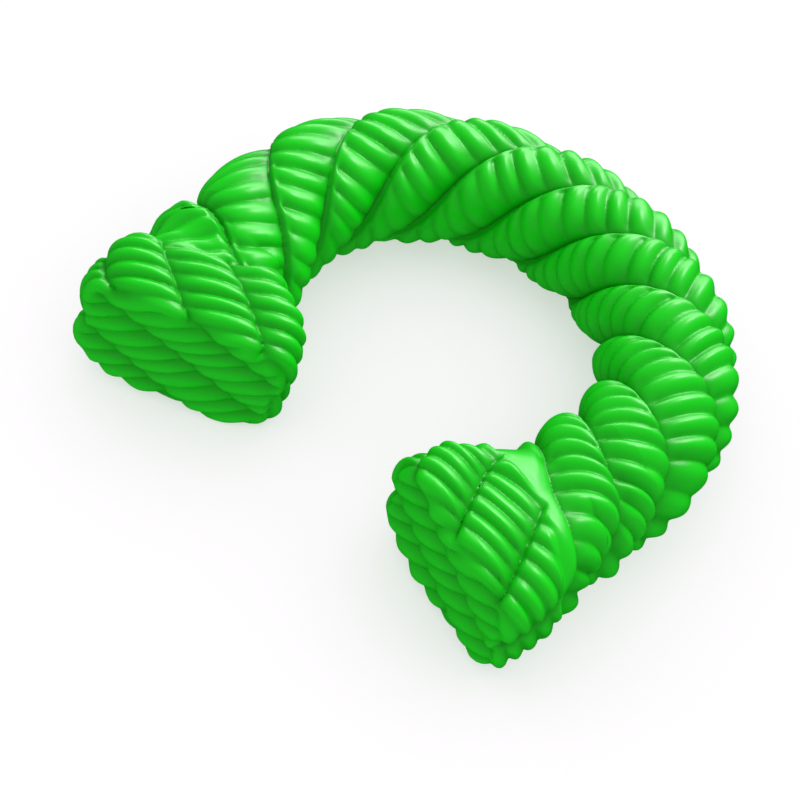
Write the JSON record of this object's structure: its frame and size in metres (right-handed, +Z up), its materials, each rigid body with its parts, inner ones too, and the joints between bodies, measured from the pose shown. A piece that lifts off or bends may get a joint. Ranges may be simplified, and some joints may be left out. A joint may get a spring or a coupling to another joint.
{
  "type": "twisty snake puzzle",
  "caption": "Chain of rope-shaped links between two flared heads; each link turns on the next, so the snake can be twisted into new shapes.",
  "frame": {"origin": "on the surface the snake lies on, under the middle of its bounding box", "axes": "+Z up, square to the plane that the ring lies in; -Y towards the two heads; +X towards the right head's side of the ring"},
  "size_m": [0.1364, 0.1402, 0.0342],
  "materials": {
    "rope_skin": "satin moulded green plastic with strands and ribs",
    "end_cover": "satin moulded green plastic with strands and ribs",
    "inner_cap": "fine matt moulded green plastic",
    "screw_steel": "bright zinc plated",
    "spring_steel": "drawn spring wire"
  },
  "bodies": {
    "right_head": {"right_head_shell": "rope_skin", "right_head_cap": "inner_cap", "right_head_cover": "end_cover", "swivel_1_screw": "screw_steel", "swivel_1_spring": "spring_steel"},
    "link_1": {"link_1_shell": "rope_skin", "link_1_cap": "inner_cap", "swivel_2_screw": "screw_steel", "swivel_2_spring": "spring_steel"},
    "link_2": {"link_2_shell": "rope_skin", "link_2_cap": "inner_cap", "swivel_3_screw": "screw_steel", "swivel_3_spring": "spring_steel"},
    "link_3": {"link_3_shell": "rope_skin", "link_3_cap": "inner_cap", "swivel_4_screw": "screw_steel", "swivel_4_spring": "spring_steel"},
    "link_4": {"link_4_shell": "rope_skin", "link_4_cap": "inner_cap", "swivel_5_screw": "screw_steel", "swivel_5_spring": "spring_steel"},
    "link_5": {"link_5_shell": "rope_skin", "link_5_cap": "inner_cap", "swivel_6_screw": "screw_steel", "swivel_6_spring": "spring_steel"},
    "link_6": {"link_6_shell": "rope_skin", "link_6_cap": "inner_cap", "swivel_7_screw": "screw_steel", "swivel_7_spring": "spring_steel"},
    "link_7": {"link_7_shell": "rope_skin", "link_7_cap": "inner_cap", "swivel_8_screw": "screw_steel", "swivel_8_spring": "spring_steel"},
    "link_8": {"link_8_shell": "rope_skin", "link_8_cap": "inner_cap", "swivel_9_screw": "screw_steel", "swivel_9_spring": "spring_steel"},
    "link_9": {"link_9_shell": "rope_skin", "link_9_cap": "inner_cap", "swivel_10_screw": "screw_steel", "swivel_10_spring": "spring_steel"},
    "left_head": {"left_head_shell": "rope_skin", "left_head_cover": "end_cover"}
  },
  "joints": [
    {"name": "swivel_1", "type": "hinge", "parent": "link_1", "child": "right_head", "pos_m": [0.04271, -0.02285, 0.015], "axis": [0.6239, 0.7815, 0], "continuous": true},
    {"name": "swivel_2", "type": "hinge", "parent": "link_2", "child": "link_1", "pos_m": [0.05153, -0.00545, 0.015], "axis": [0.2613, 0.9652, 0], "continuous": true},
    {"name": "swivel_3", "type": "hinge", "parent": "link_3", "child": "link_2", "pos_m": [0.0527, 0.01403, 0.015], "axis": [-0.1444, 0.9895, 0], "continuous": true},
    {"name": "swivel_4", "type": "hinge", "parent": "link_4", "child": "link_3", "pos_m": [0.04602, 0.03236, 0.015], "axis": [-0.5262, 0.8504, 0], "continuous": true},
    {"name": "swivel_5", "type": "hinge", "parent": "link_5", "child": "link_4", "pos_m": [0.03259, 0.04652, 0.015], "axis": [-0.8211, 0.5707, 0], "continuous": true},
    {"name": "swivel_6", "type": "hinge", "parent": "link_5", "child": "link_6", "pos_m": [0.01465, 0.05416, 0.015], "axis": [-0.9804, 0.1968, 0], "continuous": true},
    {"name": "swivel_7", "type": "hinge", "parent": "link_6", "child": "link_7", "pos_m": [-0.00486, 0.05403, 0.015], "axis": [-0.9778, -0.2096, 0], "continuous": true},
    {"name": "swivel_8", "type": "hinge", "parent": "link_7", "child": "link_8", "pos_m": [-0.02271, 0.04615, 0.015], "axis": [-0.8136, -0.5814, 0], "continuous": true},
    {"name": "swivel_9", "type": "hinge", "parent": "link_8", "child": "link_9", "pos_m": [-0.03594, 0.03182, 0.015], "axis": [-0.515, -0.8572, 0], "continuous": true},
    {"name": "swivel_10", "type": "hinge", "parent": "link_9", "child": "left_head", "pos_m": [-0.04238, 0.01341, 0.015], "axis": [-0.1314, -0.9913, 0], "continuous": true}
  ]
}
